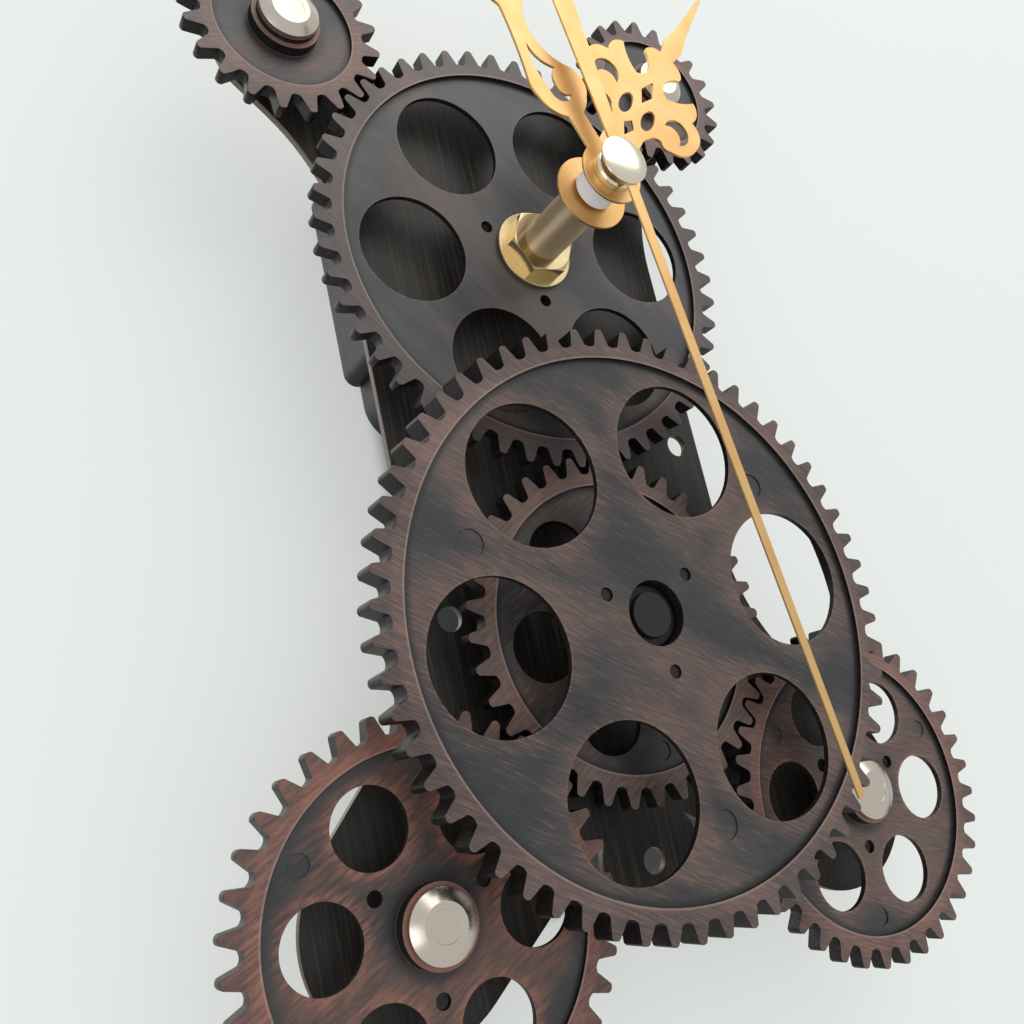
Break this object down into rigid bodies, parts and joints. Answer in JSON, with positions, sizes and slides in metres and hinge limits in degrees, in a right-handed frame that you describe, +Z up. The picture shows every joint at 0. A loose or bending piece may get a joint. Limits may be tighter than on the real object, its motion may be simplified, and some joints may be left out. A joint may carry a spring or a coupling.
{
  "type": "gear wall clock",
  "caption": "Open wall clock: a train of moulded gears and ornate gold hands in front of a dark back plate, with a battery movement behind.",
  "frame": {"origin": "centre of the hanger's loop hole, on the hanger plate's rear face", "axes": "+X to the right as the viewer sees it, +Z up, the hands and gears face -Y"},
  "size_m": [0.1578, 0.0588, 0.231],
  "materials": {
    "movement_plastic": "moulded black",
    "screw_steel": "zinc plated",
    "battery_wrap": "plain printed wrap",
    "contact_nickel": "nickel plated",
    "hanger_zinc": "zinc plated",
    "stained_wood": "black stain, brown cut edge",
    "satin_brass": "satin",
    "polished_brass": "polished",
    "gold_hand": "matte gold",
    "dark_hub_plastic": "moulded",
    "dark_post": "blackened steel",
    "white_nylon": "nylon",
    "coppered_gear": "dry-brushed antique copper",
    "turned_stainless": "turned"
  },
  "bodies": {
    "frame": {"movement_case": "movement_plastic", "movement_rear_cover": "movement_plastic", "cover_screws": "screw_steel", "aa_battery": "battery_wrap", "battery_contacts": "contact_nickel", "hanger_plate": "hanger_zinc", "back_plate": "stained_wood", "shaft_bushing": "satin_brass", "upper_gear_sleeve": "dark_hub_plastic", "bushing_washer": "polished_brass", "bushing_nut": "polished_brass", "main_post": "dark_post", "main_retaining_ring": "dark_post", "lower_left_post": "dark_post", "lower_left_cap": "turned_stainless", "lower_right_post": "dark_post", "lower_right_cap": "turned_stainless", "top_left_post": "dark_post", "top_left_cap": "turned_stainless", "top_right_post": "dark_post", "top_right_cap": "turned_stainless", "post_screws": "screw_steel"},
    "main_gears": {"main_front_gear": "coppered_gear", "main_rear_gear": "coppered_gear", "main_hub": "dark_hub_plastic", "main_gear_pins": "dark_post"},
    "upper_gear": {"upper_gear": "coppered_gear"},
    "lower_left_gear": {"lower_left_gear": "coppered_gear"},
    "lower_right_gear": {"lower_right_gear": "coppered_gear"},
    "top_left_gear": {"top_left_gear": "coppered_gear"},
    "top_right_gear": {"top_right_gear": "coppered_gear"},
    "hour_group": {"hour_tube": "satin_brass", "hour_hand": "gold_hand"},
    "minute_group": {"minute_tube": "satin_brass", "minute_collar": "white_nylon", "minute_hand": "gold_hand", "minute_nut": "polished_brass"},
    "second_group": {"second_shaft": "contact_nickel", "second_pipe": "polished_brass", "second_hand": "gold_hand", "second_cap": "polished_brass"},
    "set_knob": {"set_knob": "movement_plastic"}
  },
  "joints": [
    {"name": "main_gears_turn", "type": "hinge", "parent": "frame", "child": "main_gears", "pos_m": [0, 0, -0.10905], "axis": [0, 1, 0], "continuous": true},
    {"name": "upper_gear_turn", "type": "hinge", "parent": "frame", "child": "upper_gear", "pos_m": [0, 0, -0.03425], "axis": [0, 1, 0], "continuous": true},
    {"name": "lower_left_gear_turn", "type": "hinge", "parent": "frame", "child": "lower_left_gear", "pos_m": [-0.04688, 0, -0.14839], "axis": [0, 1, 0], "continuous": true},
    {"name": "lower_right_gear_turn", "type": "hinge", "parent": "frame", "child": "lower_right_gear", "pos_m": [0.04688, 0, -0.14839], "axis": [0, 1, 0], "continuous": true},
    {"name": "top_left_gear_turn", "type": "hinge", "parent": "frame", "child": "top_left_gear", "pos_m": [-0.04327, 0, 0.00902], "axis": [0, 1, 0], "continuous": true},
    {"name": "top_right_gear_turn", "type": "hinge", "parent": "frame", "child": "top_right_gear", "pos_m": [0.04327, 0, 0.00902], "axis": [0, 1, 0], "continuous": true},
    {"name": "minute_turn", "type": "hinge", "parent": "frame", "child": "minute_group", "pos_m": [0, 0, -0.03425], "axis": [0, 1, 0], "continuous": true},
    {"name": "hour_turn", "type": "hinge", "parent": "frame", "child": "hour_group", "pos_m": [0, 0, -0.03425], "axis": [0, 1, 0], "continuous": true},
    {"name": "second_turn", "type": "hinge", "parent": "frame", "child": "second_group", "pos_m": [0, 0, -0.03425], "axis": [0, 1, 0], "continuous": true},
    {"name": "knob_turn", "type": "hinge", "parent": "frame", "child": "set_knob", "pos_m": [0.014, 0, -0.04925], "axis": [0, 1, 0], "continuous": true}
  ],
  "couplings": [
    {"joint": "upper_gear_turn", "follows": "main_gears_turn", "ratio": -0.72},
    {"joint": "lower_left_gear_turn", "follows": "main_gears_turn", "ratio": -1},
    {"joint": "lower_right_gear_turn", "follows": "main_gears_turn", "ratio": -1},
    {"joint": "top_left_gear_turn", "follows": "main_gears_turn", "ratio": 1.8},
    {"joint": "top_right_gear_turn", "follows": "main_gears_turn", "ratio": 1.8},
    {"joint": "hour_turn", "follows": "minute_turn", "ratio": 0.083333},
    {"joint": "knob_turn", "follows": "minute_turn", "ratio": -3}
  ]
}
